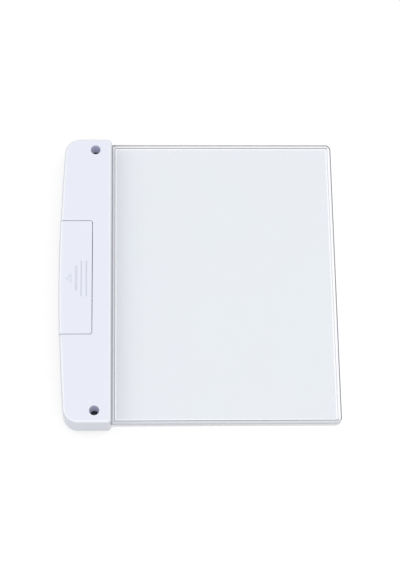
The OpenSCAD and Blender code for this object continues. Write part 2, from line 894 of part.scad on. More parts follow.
chip = [1.6, 2.9, 1.1];
chip_at = [4.2, 3.5];
chip_leg = [0.6, 0.4, 0.2];
chip_pitch = 0.95;

module driver_chip() {
    reach = chip[0] / 2 + chip_leg[0] / 2;
    color("dimgray") {
        on_board(chip_at[0], chip_at[1], chip[0], chip[1], chip[2]);
        for (s = [-1, 1], k = [-1:1])
            on_board(
                chip_at[0] + s * (reach - trim), chip_at[1] + k * chip_pitch,
                chip_leg[0], chip_leg[1], chip_leg[2]
            );
    }
}

choke_at = [-3.8, 3.4];

// Square shielded choke with its corners rounded off
module choke() {
    color([0.25, 0.25, 0.27])
    translate([x_driver + choke_at[0], y_driver + choke_at[1], z_board_top])
        intersection() {
            translate([-choke_side / 2, -choke_side / 2, 0]) cube([choke_side, choke_side, choke_high]);
            cylinder(choke_high, d = choke_round);
        }
}

capacitor = [1.3, 2, 0.9];
capacitor_places = [[-5, -3.2], [4.6, -1.6]];

module chip_capacitors() {
    color("tan")
    for (p = capacitor_places) on_board(p[0], p[1], capacitor[0], capacitor[1], capacitor[2]);
}

resistor = [0.8, 1.6, 0.45];
resistor_step = 1.8;
resistor_y = -3.6;

module chip_resistors() {
    color("black")
    for (i = [-1:1]) on_board(i * resistor_step, resistor_y, resistor[0], resistor[1], resistor[2]);
}

module switch_body() {
    color([0.15, 0.15, 0.16])
    difference() {
        box(
            x_driver - switch_side / 2, x_driver + switch_side / 2,
            y_driver - switch_side / 2, y_driver + switch_side / 2, z_switch, z_board
        );
        translate([x_driver, y_driver, z_switch - over])
            cylinder(over + plunger_in + 1.5 * button_travel, r = plunger_dia / 2 + plunger_gap);
    }
}

module switch_legs() {
    at = switch_side / 2;
    color(metal_grey)
    for (s = [-1, 1], t = [-1, 1])
        translate([x_driver + s * (at + leg_len / 2), y_driver + t * leg_at, z_board - leg_thk / 2])
            cube([leg_len, leg_wid, leg_thk], center = true);
}

module switch_plunger() {
    color([0.2, 0.2, 0.22])
    translate([x_driver, y_driver, z_plunger]) cylinder(plunger_out + plunger_in, d = plunger_dia);
}

// Button with a slightly hollow face, a flange behind the shell and a post to the plunger
module power_button() {
    color([0.75, 0.77, 0.82])
    difference() {
        translate([x_driver, y_driver, 0]) {
            translate([0, 0, button_sink]) cylinder(wall + flange_thk - button_sink, r = button_rad);
            translate([0, 0, wall + touch_gap]) cylinder(flange_thk, r = flange_rad);
            translate([0, 0, wall]) cylinder(z_plunger - touch_gap - wall, d = post_dia);
        }
        translate([x_driver, y_driver, button_sink + button_hollow - hollow_rad])
            sphere(hollow_rad, $fn = 180);
    }
}

pad_x = board_wid / 2 - 2;
pad_y = board_len / 2 - 2;
lead_bend = 4;

// Lead from a contact's lug to a pad on the driver board
module battery_lead(x, pad_side) {
    start = [x, lug_end + touch_gap, z_lug + plate_thk / 2];
    pad = [x_driver + pad_side * pad_x, y_driver - pad_y, z_board_top + touch_gap];
    path = lead_path(start, [0, lead_bend, 0], pad, [0, 0, lead_bend]);
    tube(path, [1, 0, 0], lead_dia / 2, tube_sides);
}

module battery_lead_red() {
    color("firebrick") battery_lead(x_cell_outer, -1);
}

module battery_lead_black() {
    color([0.12, 0.12, 0.12]) battery_lead(x_cell_inner, 1);
}

// Lead from a pad on the driver board to the back of the lamp board
module led_lead(back, along) {
    pad = [x_driver + pad_x, y_driver + pad_y - back, z_board_top + touch_gap];
    joint = [x_board_back - touch_gap, y_driver + board_len / 2 + along, z_part + along / 2];
    path = lead_path(pad, [0, 0, lead_bend], joint, [-lead_bend, 0, 0]);
    tube(path, [1, -1, 0], lead_dia / 2, tube_sides);
}

module led_lead_red() {
    color("firebrick") led_lead(2.6, 1);
}

module led_lead_black() {
    color([0.12, 0.12, 0.12]) led_lead(0, 4);
}

front_shell();
back_shell();
battery_cover();
casing_screws();
light_panel();
light_seals();
led_board();
leds();
reflector_strip();
cell_outer();
cell_inner();
positive_contact();
negative_contact();
bridge_contact();
spring_negative();
spring_bridge();
driver_board();
board_screws();
driver_chip();
choke();
chip_capacitors();
chip_resistors();
switch_body();
switch_legs();
switch_plunger();
power_button();
battery_lead_red();
battery_lead_black();
led_lead_red();
led_lead_black();
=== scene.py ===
import json
import math
import bmesh
import bpy
from mathutils import Matrix, Vector

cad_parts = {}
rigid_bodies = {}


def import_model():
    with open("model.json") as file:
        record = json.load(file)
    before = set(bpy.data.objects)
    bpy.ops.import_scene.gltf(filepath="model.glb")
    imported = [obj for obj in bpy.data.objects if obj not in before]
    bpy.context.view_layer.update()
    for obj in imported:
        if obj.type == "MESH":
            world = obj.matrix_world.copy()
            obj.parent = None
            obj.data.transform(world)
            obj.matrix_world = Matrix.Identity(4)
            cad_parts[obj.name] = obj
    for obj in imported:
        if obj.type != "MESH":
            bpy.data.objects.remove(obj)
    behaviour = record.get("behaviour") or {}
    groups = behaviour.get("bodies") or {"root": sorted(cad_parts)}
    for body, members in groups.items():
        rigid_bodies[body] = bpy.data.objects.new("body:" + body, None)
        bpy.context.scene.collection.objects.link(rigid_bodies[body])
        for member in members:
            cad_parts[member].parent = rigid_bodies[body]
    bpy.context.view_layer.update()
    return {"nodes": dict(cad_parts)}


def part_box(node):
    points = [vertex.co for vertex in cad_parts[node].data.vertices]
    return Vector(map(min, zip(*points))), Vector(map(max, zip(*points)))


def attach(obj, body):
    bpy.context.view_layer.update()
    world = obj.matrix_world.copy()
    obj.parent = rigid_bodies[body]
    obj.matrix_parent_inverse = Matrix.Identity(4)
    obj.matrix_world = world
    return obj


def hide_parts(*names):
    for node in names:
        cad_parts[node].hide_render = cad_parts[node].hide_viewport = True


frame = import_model()
nodes = frame["nodes"]
scene = bpy.context.scene
scene.view_settings.view_transform = "Standard"
mm = 0.001
print("frame:", len(nodes), "nodes")


# camera, from the photo's own perspective
cameraView = {
    "target": (1.29, -2.03, 9.0),  # mm
    "distance": 1087.7,  # mm
    "elevation": 69.22,  # degrees, like turn and roll
    "turn": -5.762,
    "roll": 5.28,
    "focalPixels": 1840.9,
    "longSidePixels": 570,
    "sensor": 36,  # mm
    "clip": (0.05, 20),  # m
}


def placeCamera(spec):
    high, turn, roll = (math.radians(spec[k]) for k in ("elevation", "turn", "roll"))
    back = Vector((math.sin(turn) * math.cos(high), -math.cos(turn) * math.cos(high), math.sin(high)))
    side = (-back).cross(Vector((0, 0, 1))).normalized()
    top = side.cross(-back)
    right = math.cos(roll) * side + math.sin(roll) * top
    up = math.cos(roll) * top - math.sin(roll) * side
    data = bpy.data.cameras.new("photoCamera")
    data.sensor_width = spec["sensor"]
    data.lens = spec["focalPixels"] * spec["sensor"] / spec["longSidePixels"]
    data.clip_start, data.clip_end = spec["clip"]
    camera = bpy.data.objects.new("photoCamera", data)
    scene.collection.objects.link(camera)
    camera.matrix_world = Matrix((right, up, back)).transposed().to_4x4()
    camera.location = (Vector(spec["target"]) + spec["distance"] * back) * mm
    scene.camera = camera


placeCamera(cameraView)
print("camera placed")


# colours are written as sRGB hex and made linear here
def linear(hexColour):
    parts = [int(hexColour[i:i + 2], 16) / 255 for i in (1, 3, 5)]
    return [c / 12.92 if c <= 0.04045 else ((c + 0.055) / 1.055) ** 2.4 for c in parts] + [1.0]


# sockets that share a name go by number: a Mix node takes its colours at 6 and 7 and gives one at 2
def addNode(tree, kind, settings=(), links=()):
    made = tree.nodes.new(kind)
    for key, value in dict(settings).items():
        if isinstance(key, int) or key in made.inputs:
            made.inputs[key].default_value = value
        else:
            setattr(made, key, value)
    for key, source in dict(links).items():
        tree.links.new(source, made.inputs[key])
    return made


def newMaterial(name, settings):
    made = bpy.data.materials.new(name)
    made.use_nodes = True
    tree = made.node_tree
    tree.nodes.clear()
    shader = addNode(tree, "ShaderNodeBsdfPrincipled", settings)
    addNode(tree, "ShaderNodeOutputMaterial", links={"Surface": shader.outputs[0]})
    place = addNode(tree, "ShaderNodeTexCoord").outputs["Object"]  # the CAD's own frame, in metres
    return made, tree, shader, place


noiseDetail = {"cloud": 3.0, "grain": 2.0, "smear": 2.0, "haze": 3.0}  # finer layers of each noise
grainStrength = 0.5


# a finish with two close tones in clouds, and a grain that shows in roughness and relief;
# the edge tone is a painted highlight, brighter on rounded edges of the front or back by how far they
# tilt, and the glow is painted light, a weak emission in place of light that seeps through a thin wall
def makeGrained(name, spec):
    made, tree, shader, place = newMaterial(name, {
        "IOR": spec.get("ior", 1.5), "Metallic": spec.get("metallic", 0.0),  # metals keep the default IOR
        "Emission Color": linear(spec["tones"][0]), "Emission Strength": spec.get("through", 0.0)})
    cloud = addNode(tree, "ShaderNodeTexNoise", {
        "Scale": 1 / (spec["cloud"] * mm), "Detail": noiseDetail["cloud"]}, {"Vector": place})
    tone = addNode(tree, "ShaderNodeMix", {
        "data_type": "RGBA", 6: linear(spec["tones"][0]), 7: linear(spec["tones"][1])},
        {0: cloud.outputs["Fac"]})
    grain = addNode(tree, "ShaderNodeTexNoise", {
        "Scale": 1 / (spec["grain"] * mm), "Detail": noiseDetail["grain"]}, {"Vector": place})
    rough = addNode(tree, "ShaderNodeMapRange", {
        "To Min": spec["roughness"][0], "To Max": spec["roughness"][1]}, {"Value": grain.outputs["Fac"]})
    bump = addNode(tree, "ShaderNodeBump", {
        "Strength": grainStrength, "Distance": spec["relief"] * mm}, {"Height": grain.outputs["Fac"]})
    # painted highlight: a brighter tone on rounded edges, by how far they tilt from level
    if "edge" in spec:
        turned = addNode(tree, "ShaderNodeNewGeometry").outputs["Normal"]
        axes = addNode(tree, "ShaderNodeSeparateXYZ", links={0: turned})
        level = addNode(tree, "ShaderNodeMath", {"operation": "ABSOLUTE"}, {0: axes.outputs["Z"]})
        onHighlight = addNode(tree, "ShaderNodeValToRGB", links={0: level.outputs[0]})
        begin, full, end = (math.cos(math.radians(tilt)) for tilt in spec["edgeTilt"])
        ramp = onHighlight.color_ramp.elements
        ramp[0].position, ramp[0].color = end, (0, 0, 0, 1)
        ramp[1].position, ramp[1].color = begin, (0, 0, 0, 1)
        ramp.new(full).color = (1, 1, 1, 1)
        tone = addNode(tree, "ShaderNodeMix", {
            "data_type": "RGBA", 7: linear(spec["edge"])}, {0: onHighlight.outputs[0], 6: tone.outputs[2]})
    tree.links.new(tone.outputs[2], shader.inputs["Base Color"])
    tree.links.new(rough.outputs[0], shader.inputs["Roughness"])
    tree.links.new(bump.outputs[0], shader.inputs["Normal"])
    return made


# sizes in mm; grain finer than about 0.5 mm is too fine to show and is drawn that coarse;
# the tilt says at how many degrees off level the painted edge highlight begins, is full and ends
finishes = {
    # injection-moulded ABS: cool white, satin, with faint clouds where the melt flowed, and a painted
    # highlight on its rounded edges
    "mouldedAbsWhite": {"tones": ("#E8EBF7", "#ECEEFB"), "roughness": (0.20, 0.27), "ior": 1.54,
                        "cloud": 45, "grain": 0.7, "relief": 0.004,
                        "edge": "#FBFCFF", "edgeTilt": (5, 20, 55)},
    # the same on the floors of the cover's grooves, greyer and dull: painted shade
    "mouldedAbsDusty": {"tones": ("#D8DAE6", "#DFE1ED"), "roughness": (0.55, 0.7), "ior": 1.5,
                        "cloud": 4, "grain": 0.6, "relief": 0.004},
    # the same down the screw holes: a grey tone, painted shade, and a weak glow, painted light, in place
    # of daylight that seeps through the thin wall
    "mouldedAbsThin": {"tones": ("#A4A5B8", "#AAABBC"), "roughness": (0.45, 0.6), "ior": 1.5,
                       "cloud": 4, "grain": 0.6, "relief": 0.004, "through": 0.36},
    # the same, in grey, for the button: a little duller than the casing
    "mouldedAbsGrey": {"tones": ("#B9BDC8", "#C2C6D0"), "roughness": (0.24, 0.34), "ior": 1.54,
                       "cloud": 9, "grain": 0.6, "relief": 0.004},
    # closed-cell foam: grey, dull, open pores where it was slit
    "foamClosedCell": {"tones": ("#AEAFB8", "#BABBC3"), "roughness": (0.85, 1.0), "ior": 1.45,
                       "cloud": 6, "grain": 0.8, "relief": 0.25},
    # white polyester film: bright and slightly uneven in gloss
    "reflectorFilm": {"tones": ("#F3F3F1", "#F8F8F6"), "roughness": (0.45, 0.6), "ior": 1.57,
                      "cloud": 12, "grain": 0.6, "relief": 0.004},
    # nickel-plated strip: soft stamped sheen
    "nickelPlatedStrip": {"tones": ("#C9C5BC", "#D6D2CA"), "roughness": (0.22, 0.36), "metallic": 1.0,
                          "cloud": 5, "grain": 0.6, "relief": 0.006},
    # nickel-plated music wire: brighter, drawn smooth
    "nickelPlatedWire": {"tones": ("#CFCCC6", "#DCD9D3"), "roughness": (0.16, 0.26), "metallic": 1.0,
                         "cloud": 2, "grain": 0.5, "relief": 0.003},
    # zinc-plated screws, passivated: dark, with a soft metal shine
    "zincPassivatedDark": {"tones": ("#3F3F43", "#56565B"), "roughness": (0.3, 0.48), "metallic": 1.0,
                           "cloud": 1.5, "grain": 0.5, "relief": 0.005},
    # tinned copper and solder: bright with a frosty skin
    "tinnedSolder": {"tones": ("#C4C5C7", "#D9DADB"), "roughness": (0.2, 0.4), "metallic": 1.0,
                     "cloud": 1.2, "grain": 0.5, "relief": 0.01},
    # moulded epoxy: black, matt, filled with silica
    "epoxyMoulded": {"tones": ("#1E1E20", "#28282A"), "roughness": (0.5, 0.65), "ior": 1.55,
                     "cloud": 1, "grain": 0.5, "relief": 0.01},
    # sintered ferrite: dark grey and slightly pitted
    "ferriteSintered": {"tones": ("#3A3A3D", "#4A4A4D"), "roughness": (0.55, 0.75), "ior": 1.8,
                        "cloud": 1.5, "grain": 0.5, "relief": 0.02},
    # fired ceramic: tan, with a dull glaze
    "ceramicFired": {"tones": ("#B08A62", "#C29C74"), "roughness": (0.35, 0.5), "ior": 1.7,
                     "cloud": 1, "grain": 0.5, "relief": 0.006},
    # moulded nylon: black with a soft shine
    "nylonMoulded": {"tones": ("#1B1B1D", "#242426"), "roughness": (0.38, 0.5), "ior": 1.53,
                     "cloud": 3, "grain": 0.5, "relief": 0.006},
    # extruded PVC insulation: smooth, waxy shine
    "pvcRed": {"tones": ("#A8201E", "#BC2A26"), "roughness": (0.32, 0.42), "ior": 1.53,
               "cloud": 4, "grain": 0.6, "relief": 0.004},
    "pvcBlack": {"tones": ("#17171A", "#222226"), "roughness": (0.32, 0.42), "ior": 1.53,
                 "cloud": 4, "grain": 0.6, "relief": 0.004},
}
finish = {name: makeGrained(name, spec) for name, spec in finishes.items()}

# cast acrylic: faces polished clear, sawn sides sanded to a pale haze, and on rounded edges and rim
# strips painted shade, tones darker by how they face or where they lie; see is the share let through
acrylicSpec = {
    "castAcrylicClear": {"colour": "#FBFCFE", "see": 1.0, "roughness": (0.02, 0.05)},
    "castAcrylicBead": {"colour": "#C0C2CA", "see": 1.0, "roughness": (0.04, 0.08)},
    "castAcrylicHaze": {"colour": "#B4B6C0", "see": 1.0, "roughness": (0.04, 0.08)},
    "castAcrylicSlope": {"colour": "#9A9CA5", "see": 1.0, "roughness": (0.04, 0.08)},
    "castAcrylicEdge": {"colour": "#4C4D55", "see": 1.0, "roughness": (0.04, 0.08)},
    "castAcrylicDeep": {"colour": "#202128", "see": 1.0, "roughness": (0.04, 0.08)},
    "castAcrylicSanded": {"colour": "#F8F9FC", "see": 0.0, "roughness": (0.3, 0.45)},
}
acrylicIor = 1.49
smearLong = 12  # mm, of the faint smears left by wiping


def makeClearAcrylic(name, spec):
    made, tree, shader, place = newMaterial(name, {
        "Base Color": linear(spec["colour"]), "IOR": acrylicIor, "Transmission Weight": spec["see"]})
    smear = addNode(tree, "ShaderNodeTexNoise", {
        "Scale": 1 / (smearLong * mm), "Detail": noiseDetail["smear"]}, {"Vector": place})
    rough = addNode(tree, "ShaderNodeMapRange", {
        "To Min": spec["roughness"][0], "To Max": spec["roughness"][1]}, {"Value": smear.outputs["Fac"]})
    tree.links.new(rough.outputs[0], shader.inputs["Roughness"])
    return made


# the lit field: acrylic etched with close dots that scatter the lamps' light, seen as an even haze
fieldSpec = {
    "tones": ("#DCDFE7", "#DAE2E8"),
    "roughness": (0.08, 0.13),
    "dot": 0.8,  # mm between dots
    "dotEdge": (0.25, 0.45),  # share of that spacing, over which a dot fades out
    "uneven": 0.3,  # how far the dots stray from their rows, 1 being at random
    "haze": 45,  # mm
    "see": (0.72, 0.76),  # transmission on and between the dots
    "casingShade": "#B9BEC8",  # painted shade of the casing: a darker tone beside it, on the lamps' side
    "casingShadeWide": 14,  # mm
}


def makeEtchedAcrylic(spec):
    made, tree, shader, place = newMaterial("castAcrylicEtched", {"IOR": acrylicIor})
    dots = addNode(tree, "ShaderNodeTexVoronoi", {
        "voronoi_dimensions": "2D", "Scale": 1 / (spec["dot"] * mm), "Randomness": spec["uneven"]},
        {"Vector": place})
    onDot = addNode(tree, "ShaderNodeMapRange", {
        "From Min": spec["dotEdge"][0], "From Max": spec["dotEdge"][1], "To Min": 1.0, "To Max": 0.0},
        {"Value": dots.outputs["Distance"]})
    haze = addNode(tree, "ShaderNodeTexNoise", {
        "Scale": 1 / (spec["haze"] * mm), "Detail": noiseDetail["haze"]}, {"Vector": place})
    tone = addNode(tree, "ShaderNodeMix", {
        "data_type": "RGBA", 6: linear(spec["tones"][0]), 7: linear(spec["tones"][1])},
        {0: haze.outputs["Fac"]})
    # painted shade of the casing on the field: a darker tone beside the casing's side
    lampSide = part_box("back_shell")[1].x
    across = addNode(tree, "ShaderNodeSeparateXYZ", links={0: place})
    outOfCasingShade = addNode(tree, "ShaderNodeMapRange", {
        "interpolation_type": "SMOOTHSTEP", "From Min": lampSide - spec["casingShadeWide"] * mm,
        "From Max": lampSide + spec["casingShadeWide"] * mm}, {"Value": across.outputs["X"]})
    tone = addNode(tree, "ShaderNodeMix", {
        "data_type": "RGBA", 6: linear(spec["casingShade"])}, {0: outOfCasingShade.outputs[0], 7: tone.outputs[2]})
    rough = addNode(tree, "ShaderNodeMapRange", {
        "To Min": spec["roughness"][0], "To Max": spec["roughness"][1]}, {"Value": onDot.outputs[0]})
    see = addNode(tree, "ShaderNodeMapRange", {
        "To Min": spec["see"][1], "To Max": spec["see"][0]}, {"Value": onDot.outputs[0]})
    tree.links.new(tone.outputs[2], shader.inputs["Base Color"])
    tree.links.new(rough.outputs[0], shader.inputs["Roughness"])
    tree.links.new(see.outputs[0], shader.inputs["Transmission Weight"])
    return made


# glass-epoxy board: green solder resist over copper tracks, which show as paler lines
resistSpec = {
    "resist": "#1F5C3A",
    "track": "#2F7A4E",
    "roughness": (0.28, 0.4),
    "ior": 1.52,
    "trackWidth": 0.35,  # mm
    "trackStep": 1.27,  # mm
    "run": 7.0,  # mm, length of a straight track
    "relief": 0.03,  # mm, by which the tracks stand proud
    "strength": 0.6,
}


def makeBoardResist(spec):
    made, tree, shader, place = newMaterial("solderResistGreen", {"IOR": spec["ior"]})
    tracks = addNode(tree, "ShaderNodeTexBrick", {
        "Scale": 1.0, "Mortar Size": spec["trackWidth"] * mm / 2, "Brick Width": spec["run"] * mm,
        "Row Height": spec["trackStep"] * mm, "Color1": linear(spec["resist"]),
        "Color2": linear(spec["resist"]), "Mortar": linear(spec["track"])}, {"Vector": place})
    rough = addNode(tree, "ShaderNodeMapRange", {
        "To Min": spec["roughness"][0], "To Max": spec["roughness"][1]}, {"Value": tracks.outputs["Fac"]})
    bump = addNode(tree, "ShaderNodeBump", {
        "Strength": spec["strength"], "Distance": spec["relief"] * mm}, {"Height": tracks.outputs["Fac"]})
    tree.links.new(tracks.outputs["Color"], shader.inputs["Base Color"])
    tree.links.new(rough.outputs[0], shader.inputs["Roughness"])
    tree.links.new(bump.outputs[0], shader.inputs["Normal"])
    return made


# lamp: white moulded cup, with yellow phosphor under clear silicone in its window
lampSpec = {
    "cup": "#F1EFE6",
    "phosphor": ("#E3C13C", "#EDD06A"),
    "roughness": 0.3,
    "ior": 1.41,
    "speck": 0.5,  # mm, of the phosphor's grains
    "sunk": 0.2,  # mm, by which the window lies behind the cup's face
    "depth": 0.03,  # mm around that, which still counts as window
}


def makeLampCup(spec):
    made, tree, shader, place = newMaterial("lampCupPhosphor", {
        "IOR": spec["ior"], "Roughness": spec["roughness"]})
    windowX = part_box("leds")[1].x - spec["sunk"] * mm
    axes = addNode(tree, "ShaderNodeSeparateXYZ", links={0: place})
    window = addNode(tree, "ShaderNodeMath", {
        "operation": "COMPARE", 1: windowX, 2: spec["depth"] * mm}, {0: axes.outputs["X"]})
    speck = addNode(tree, "ShaderNodeTexNoise", {"Scale": 1 / (spec["speck"] * mm)}, {"Vector": place})
    grainy = addNode(tree, "ShaderNodeMix", {
        "data_type": "RGBA", 6: linear(spec["phosphor"][0]), 7: linear(spec["phosphor"][1])},
        {0: speck.outputs["Fac"]})
    both = addNode(tree, "ShaderNodeMix", {
        "data_type": "RGBA", 6: linear(spec["cup"])}, {0: window.outputs[0], 7: grainy.outputs[2]})
    tree.links.new(both.outputs[2], shader.inputs["Base Color"])
    return made


# cell jacket: plain grey film shrunk on a steel can, with a metallised silver band at the positive end
cellSpec = {
    "pieces": {  # node, and which way its positive end points along Y
        "cellOuter": ("cell_outer", 1),
        "cellInner": ("cell_inner", -1),
    },
    "body": "#525C68",
    "band": "#C6C9CE",
    "line": "#E6E3DA",
    "bandLong": 9.0,  # mm
    "lineWide": 0.7,  # mm
    "plusLong": 3.4,  # mm
    "plusWide": 0.9,  # mm
    "roughness": (0.2, 0.3),
    "ior": 1.5,
    "smear": 6,  # mm
    "rim": 0.5,  # mm, rounding of the can
    "segments": 3,
    "bare": 0.3,  # mm inside the can's side, from where the metal shows
}


def makeCellJacket(name, node, towards, spec):
    made, tree, shader, place = newMaterial(name, {"IOR": spec["ior"]})
    low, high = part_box(node)
    end = high.y if towards > 0 else low.y
    middle = (low.x + high.x) / 2
    axes = addNode(tree, "ShaderNodeSeparateXYZ", links={0: place})
    bandEnd = end - towards * spec["bandLong"] * mm
    band = addNode(tree, "ShaderNodeMath", {
        "operation": "COMPARE", 1: end, 2: spec["bandLong"] * mm}, {0: axes.outputs["Y"]})
    line = addNode(tree, "ShaderNodeMath", {
        "operation": "COMPARE", 1: bandEnd, 2: spec["lineWide"] * mm / 2}, {0: axes.outputs["Y"]})
    plusY = bandEnd - towards * spec["plusLong"] * mm
    bars = []
    for longX, longY in ((spec["plusLong"], spec["plusWide"]), (spec["plusWide"], spec["plusLong"])):
        acrossX = addNode(tree, "ShaderNodeMath", {
            "operation": "COMPARE", 1: middle, 2: longX * mm / 2}, {0: axes.outputs["X"]})
        alongY = addNode(tree, "ShaderNodeMath", {
            "operation": "COMPARE", 1: plusY, 2: longY * mm / 2}, {0: axes.outputs["Y"]})
        bars.append(addNode(tree, "ShaderNodeMath", {"operation": "MULTIPLY"}, {
            0: acrossX.outputs[0], 1: alongY.outputs[0]}))
    plus = addNode(tree, "ShaderNodeMath", {"operation": "MAXIMUM"}, {
        0: bars[0].outputs[0], 1: bars[1].outputs[0]})
    printed = addNode(tree, "ShaderNodeMath", {"operation": "MAXIMUM"}, {
        0: plus.outputs[0], 1: line.outputs[0]})
    ground = addNode(tree, "ShaderNodeMix", {
        "data_type": "RGBA", 6: linear(spec["body"]), 7: linear(spec["band"])}, {0: band.outputs[0]})
    tone = addNode(tree, "ShaderNodeMix", {
        "data_type": "RGBA", 7: linear(spec["line"])}, {0: printed.outputs[0], 6: ground.outputs[2]})
    smear = addNode(tree, "ShaderNodeTexNoise", {"Scale": 1 / (spec["smear"] * mm)}, {"Vector": place})
    rough = addNode(tree, "ShaderNodeMapRange", {
        "To Min": spec["roughness"][0], "To Max": spec["roughness"][1]}, {"Value": smear.outputs["Fac"]})
    tree.links.new(tone.outputs[2], shader.inputs["Base Color"])
    tree.links.new(band.outputs[0], shader.inputs["Metallic"])
    tree.links.new(rough.outputs[0], shader.inputs["Roughness"])
    return made


acrylic = {name: makeClearAcrylic(name, spec) for name, spec in acrylicSpec.items()}
etchedAcrylic = makeEtchedAcrylic(fieldSpec)
boardResist = makeBoardResist(resistSpec)
lampCup = makeLampCup(lampSpec)
print("materials made:", len(bpy.data.materials))

bodyOf = {name: ob.parent.name.split(":")[1] for name, ob in nodes.items()}

# how meshes are read and rounded
meshSpec = {
    "weld": 0.001,  # mm between points that are one
    "flat": 0.4,  # degrees between faces that are one
    "slack": 0.02,  # mm, by which points may stand beyond a face of the outside skin
    "sharp": 35,  # degrees, from which an edge is rounded
    "crease": 38,  # degrees, from which an edge is shaded as sharp
    "square": 0.99,  # part of a normal along an axis, from which a face is square to it
    "upright": 0.3,  # part of a normal along Z, below which a face stands upright
    "segments": 2,  # of a small rounding
}


def isLevel(face):
    return face.normal.z > meshSpec["square"]


def isUpright(face):
    return abs(face.normal.z) < meshSpec["upright"]


# welded copy of a CAD node, its flat faces whole again
def weldedCopy(name, flatten=True):
    bm = bmesh.new()
    bm.from_mesh(nodes[name].data)
    bmesh.ops.remove_doubles(bm, verts=bm.verts, dist=meshSpec["weld"] * mm)
    if flatten:
        flat = math.radians(meshSpec["flat"])
        bmesh.ops.dissolve_limit(bm, angle_limit=flat, verts=bm.verts, edges=bm.edges)
    for face in bm.faces:
        face.material_index = 0
    bm.normal_update()
    return bm


# faces of the outside skin, beyond which no part of the piece stands
def outsideFaces(bm):
    points = [v.co for v in bm.verts]
    slack = meshSpec["slack"] * mm
    return {f for f in bm.faces if max((p - f.verts[0].co).dot(f.normal) for p in points) < slack}


# rounds the sharp edges, as moulds and tumbling leave them; chosen picks among them by the edge
# and by which of its two faces lie outside, and a profile of 0.5 makes a true arc
def breakEdges(bm, width, segments=meshSpec["segments"], chosen=None, material=-1):
    outside = outsideFaces(bm) if chosen else ()
    sharp = math.radians(meshSpec["sharp"])
    edges = [e for e in bm.edges if len(e.link_faces) == 2 and e.calc_face_angle() > sharp
             and (chosen is None or chosen(e, [f in outside for f in e.link_faces]))]
    bmesh.ops.bevel(bm, geom=edges, offset=width * mm, offset_type="OFFSET", segments=segments,
                    profile=0.5, affect="EDGES", clamp_overlap=False, material=material)


# cuts only the given faces along a plane and gives back the faces on both sides
def cutFaces(bm, faces, point, direction):
    edges = {e for f in faces for e in f.edges}
    verts = {v for e in edges for v in e.verts}
    cut = bmesh.ops.bisect_plane(bm, geom=[*faces, *edges, *verts], plane_co=point, plane_no=direction)
    return [g for g in cut["geom"] if isinstance(g, bmesh.types.BMFace)]


def addPiece(bm, pieceName, node, materials, crease=meshSpec["crease"]):
    for edge in bm.edges:
        edge.smooth = len(edge.link_faces) != 2 or edge.calc_face_angle() < math.radians(crease)
    for face in bm.faces:
        face.smooth = True
    mesh = bpy.data.meshes.new(pieceName)
    bm.to_mesh(mesh)
    bm.free()
    for material in materials:
        mesh.materials.append(material)
    piece = bpy.data.objects.new(pieceName, mesh)
    scene.collection.objects.link(piece)
    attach(piece, bodyOf[node])
    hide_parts(node)
    return piece


def evenNormals(piece):
    even = piece.modifiers.new("evenNormals", "WEIGHTED_NORMAL")
    even.keep_sharp = True


# casing shells and cover: only the edges that show are rounded
shellSpec = {
    "pieces": {"backShell": "back_shell", "frontShell": "front_shell", "batteryCover": "battery_cover"},
    "finishes": ("mouldedAbsWhite", "mouldedAbsDusty", "mouldedAbsThin"),
    "round": 0.2,  # mm, along rims, gaps, grooves and the parting line
    "drawnIn": 0.4,  # mm, by which the side along the panel stands further back than in the CAD
    "drawnFrom": 3,  # mm from that side, where the drawing in begins
    "drawnFull": 1,  # mm from that side, where it is complete
    "hole": 3.0,  # mm, a little more than the radius of the screw holes
    "grooveDeep": 0.9,  # mm, level faces down to this depth in the cover are the floors of its grooves
    "arrowEnd": 10,  # mm from the cover's outer side; up to there they are the arrow's and keep the plain white, without the painted shade
}


def drawIn(bm, side, spec):
    for vert in bm.verts:
        depth = (side - vert.co.x) / mm
        share = (spec["drawnFrom"] - depth) / (spec["drawnFrom"] - spec["drawnFull"])
        vert.co.x -= spec["drawnIn"] * mm * min(max(share, 0), 1)
    bm.normal_update()


def makeShells(spec):
    screwLow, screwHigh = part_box("casing_screws")
    screwX = (screwLow.x + screwHigh.x) / 2
    screwY = screwHigh.y - (screwHigh.x - screwLow.x) / 2
    for pieceName, node in spec["pieces"].items():
        bm = weldedCopy(node)
        low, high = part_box(node)
        if node != "battery_cover":
            drawIn(bm, high.x, spec)
        breakEdges(bm, spec["round"], chosen=lambda e, sides: any(sides))
        for face in bm.faces:
            at = face.calc_center_median()
            toScrew = Vector((at.x - screwX, abs(at.y) - screwY))
            inHole = isUpright(face) and toScrew.length < spec["hole"] * mm
            sunk = isLevel(face) and spec["round"] * mm < high.z - at.z < spec["grooveDeep"] * mm
            kind = "mouldedAbsWhite"
            # screw-hole walls: painted shade in a grey tone, and a painted glow
            if node == "back_shell" and inHole:
                kind = "mouldedAbsThin"
            # the cover's groove floors: painted shade
            elif node == "battery_cover" and sunk and at.x > low.x + spec["arrowEnd"] * mm:
                kind = "mouldedAbsDusty"
            face.material_index = spec["finishes"].index(kind)
        evenNormals(addPiece(bm, pieceName, node, [finish[name] for name in spec["finishes"]]))


